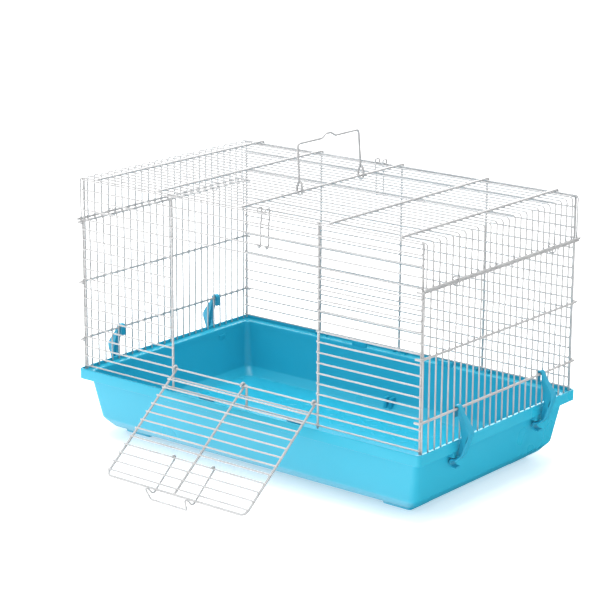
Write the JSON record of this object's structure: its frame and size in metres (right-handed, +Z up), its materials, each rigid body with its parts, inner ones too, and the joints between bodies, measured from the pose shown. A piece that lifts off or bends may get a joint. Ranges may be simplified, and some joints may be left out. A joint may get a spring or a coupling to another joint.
{
  "type": "hamster cage",
  "caption": "Rectangular white wire hamster cage with a drop-down front door, a carrying handle and a deep blue plastic tray held on by side clips.",
  "frame": {"origin": "middle of the footprint, with the front door open, at table height", "axes": "+X along the cage's length, to the right seen from the door; +Y to the back, away from the door; +Z up"},
  "size_m": [0.5056, 0.4104, 0.3539],
  "materials": {
    "coated_wire": "glossy white powder coat",
    "tray_plastic": "glossy moulded sky blue",
    "clip_plastic": "satin moulded blue"
  },
  "bodies": {
    "cage": {"tray": "tray_plastic", "left_end_panel": "coated_wire", "right_end_panel": "coated_wire", "front_panel": "coated_wire", "back_panel": "coated_wire", "roof_panel": "coated_wire", "panel_ring_left_front": "coated_wire", "panel_ring_left_rear": "coated_wire", "panel_ring_right_front": "coated_wire", "panel_ring_right_rear": "coated_wire", "front_roof_lock": "coated_wire", "back_roof_lock": "coated_wire"},
    "door": {"door": "coated_wire"},
    "door_latch": {"door_latch": "coated_wire"},
    "handle": {"handle": "coated_wire"},
    "clip_right_front": {"clip_right_front": "clip_plastic"},
    "clip_right_rear": {"clip_right_rear": "clip_plastic"},
    "clip_left_front": {"clip_left_front": "clip_plastic"},
    "clip_left_rear": {"clip_left_rear": "clip_plastic"}
  },
  "joints": [
    {"name": "door_hinge", "type": "hinge", "parent": "cage", "child": "door", "pos_m": [0, -0.07997, 0.1022], "axis": [-1, 0, 0], "range_deg": [0, 128.66]},
    {"name": "door_latch_flex", "type": "hinge", "parent": "door", "child": "door_latch", "pos_m": [0, -0.16021, 0.03666], "axis": [1, 0, 0], "range_deg": [0, 4], "stiffness_Nm_per_rad": 0.6},
    {"name": "handle_swing", "type": "hinge", "parent": "cage", "child": "handle", "pos_m": [0, 0.06907, 0.29719], "axis": [0, 1, 0], "range_deg": [-85, 93]},
    {"name": "clip_right_front_swing", "type": "hinge", "parent": "cage", "child": "clip_right_front", "pos_m": [0.23554, -0.01805, 0.1104], "axis": [0, -1, 0], "range_deg": [0, 110]},
    {"name": "clip_right_rear_swing", "type": "hinge", "parent": "cage", "child": "clip_right_rear", "pos_m": [0.23554, 0.13651, 0.1104], "axis": [0, -1, 0], "range_deg": [0, 110]},
    {"name": "clip_left_front_swing", "type": "hinge", "parent": "cage", "child": "clip_left_front", "pos_m": [-0.23554, -0.01805, 0.1104], "axis": [0, 1, 0], "range_deg": [0, 110]},
    {"name": "clip_left_rear_swing", "type": "hinge", "parent": "cage", "child": "clip_left_rear", "pos_m": [-0.23554, 0.14755, 0.1104], "axis": [0, 1, 0], "range_deg": [0, 110]}
  ]
}
